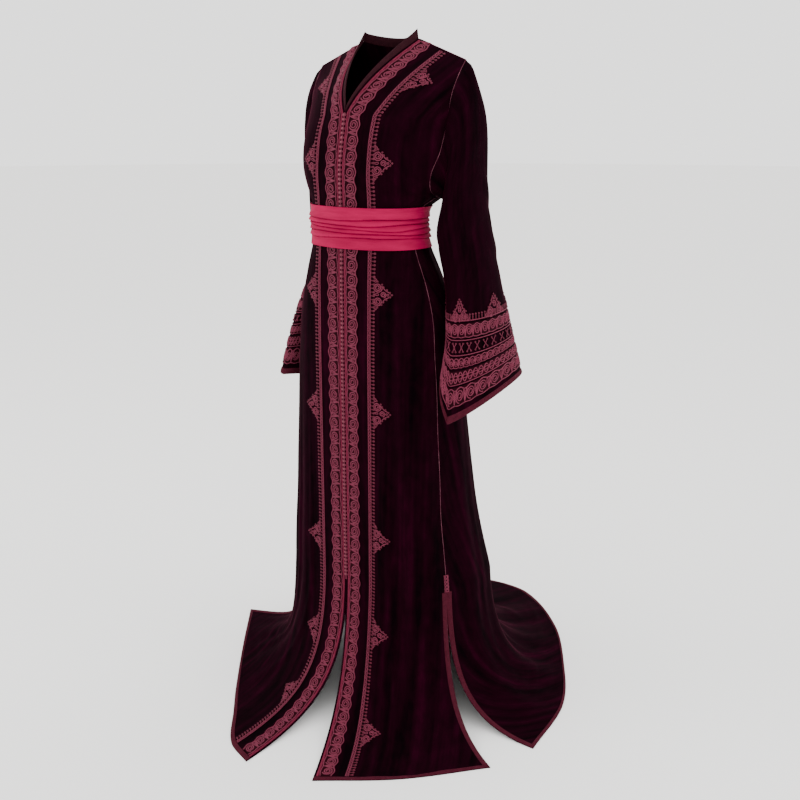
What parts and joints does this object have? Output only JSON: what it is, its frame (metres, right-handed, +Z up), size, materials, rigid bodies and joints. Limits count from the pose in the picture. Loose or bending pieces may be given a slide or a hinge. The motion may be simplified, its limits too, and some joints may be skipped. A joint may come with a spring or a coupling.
{
  "type": "velvet caftan",
  "caption": "Floor-length open-front velvet caftan in its worn, hollow form, with braided V-neck and fronts, deep trumpet sleeves, side slits, a trailing rounded hem and a pleated sash.",
  "frame": {"origin": "middle of the neck, level with the neck ends of the shoulder seams, where the wearer's shoulders hold the garment", "axes": "+Z up the body, -Y out of the front, +X to the wearer's left"},
  "size_m": [0.9386, 1.0478, 1.4798],
  "materials": {
    "velvet": "near-black burgundy velvet pile with a crimson sheen",
    "braid": "flat woven rose-burgundy braid",
    "corded": "dusty rose corded passementerie",
    "sash": "raspberry pink crepe, folded in pleats"
  },
  "bodies": {
    "root": {"bodice_left": "velvet", "bodice_right": "velvet", "bodice_back": "velvet", "skirt_left": "velvet", "skirt_right": "velvet", "skirt_back": "velvet", "sleeve_left": "velvet", "sleeve_right": "velvet", "flat_braid_left": "braid", "flat_braid_right": "braid", "neckband": "braid", "cuff_binding_left": "braid", "cuff_binding_right": "braid", "hem_binding_left": "braid", "hem_binding_right": "braid", "hem_binding_back": "braid", "scroll_braid_left": "corded", "scroll_braid_right": "corded", "edging_left": "corded", "edging_right": "corded", "cuff_left": "corded", "cuff_right": "corded", "button_row": "corded", "slit_knot_left": "corded", "slit_knot_right": "corded", "motif_left_1": "corded", "motif_left_2": "corded", "motif_left_3": "corded", "motif_left_4": "corded", "motif_left_5": "corded", "motif_left_6": "corded", "motif_left_7": "corded", "motif_right_1": "corded", "motif_right_2": "corded", "motif_right_3": "corded", "motif_right_4": "corded", "motif_right_5": "corded", "motif_right_6": "corded", "motif_right_7": "corded", "belt": "sash"}
  },
  "joints": []
}
